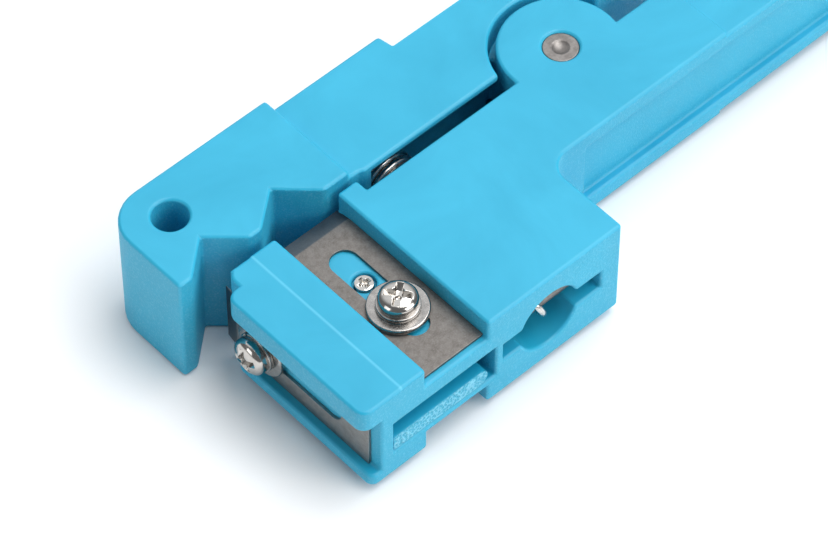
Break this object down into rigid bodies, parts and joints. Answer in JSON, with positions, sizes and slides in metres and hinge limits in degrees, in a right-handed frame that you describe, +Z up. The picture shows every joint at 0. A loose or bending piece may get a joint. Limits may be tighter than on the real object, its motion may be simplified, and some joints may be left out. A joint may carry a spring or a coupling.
{
  "type": "cable jacket slitting and ringing stripper",
  "caption": "Hand stripper for cable jackets: moulded body with clamped ring and slitting blades and a sprung lever with a double V jaw on a pivot pin.",
  "frame": {"origin": "middle of the tool's outer box, on the plane that it lies on", "axes": "+X from the jaws to the end of the handle, +Y from the body to the lever, +Z up through the thickness"},
  "size_m": [0.1332, 0.0478, 0.0182],
  "materials": {
    "blue_plastic": "satin moulded",
    "blade_steel": "ground",
    "bright_screw": "nickel plated",
    "pin_steel": "drawn",
    "spring_steel": "bright drawn wire"
  },
  "bodies": {
    "handle_body": {"body": "blue_plastic", "slot_insert": "blue_plastic", "pivot_pin": "pin_steel", "body_spring_pin": "pin_steel", "ring_lock_washer": "bright_screw", "ring_flat_washer": "bright_screw", "ring_blade_nut": "bright_screw", "slitting_lock_washer": "bright_screw", "slitting_flat_washer": "bright_screw", "slitting_blade_nut": "bright_screw", "return_spring": "spring_steel"},
    "lever": {"lever": "blue_plastic", "lever_spring_pin": "pin_steel"},
    "ring_blade": {"ring_blade": "blade_steel"},
    "slitting_blade": {"slitting_blade": "blade_steel"},
    "ring_screw": {"ring_blade_screw": "bright_screw"},
    "slitting_screw": {"slitting_blade_screw": "bright_screw"},
    "ring_set_screw": {"ring_set_screw": "bright_screw"}
  },
  "joints": [
    {"name": "lever_pivot", "type": "hinge", "parent": "handle_body", "child": "lever", "pos_m": [-0.0059, 0.00179, 0.0091], "axis": [0, 0, -1], "range_deg": [0, 12], "stiffness_Nm_per_rad": 0.5, "springref_deg": -17.19, "deforming": ["return_spring"]},
    {"name": "ring_blade_slide", "type": "slide", "parent": "handle_body", "child": "ring_blade", "axis": [0, 1, 0], "range_m": [-0.004, 0.0006]},
    {"name": "slitting_blade_slide", "type": "slide", "parent": "handle_body", "child": "slitting_blade", "axis": [0, 1, 0], "range_m": [0, 0.003]},
    {"name": "ring_screw_turn", "type": "hinge", "parent": "handle_body", "child": "ring_screw", "pos_m": [-0.04748, -0.01341, 0.01379], "axis": [0, 0, 1], "continuous": true},
    {"name": "slitting_screw_turn", "type": "hinge", "parent": "handle_body", "child": "slitting_screw", "pos_m": [-0.05975, -0.00315, 0.00816], "axis": [-1, 0, 0], "continuous": true},
    {"name": "set_screw_turn", "type": "hinge", "parent": "handle_body", "child": "ring_set_screw", "pos_m": [-0.04748, -0.0073, 0.01367], "axis": [0, 0, 1], "continuous": true}
  ]
}
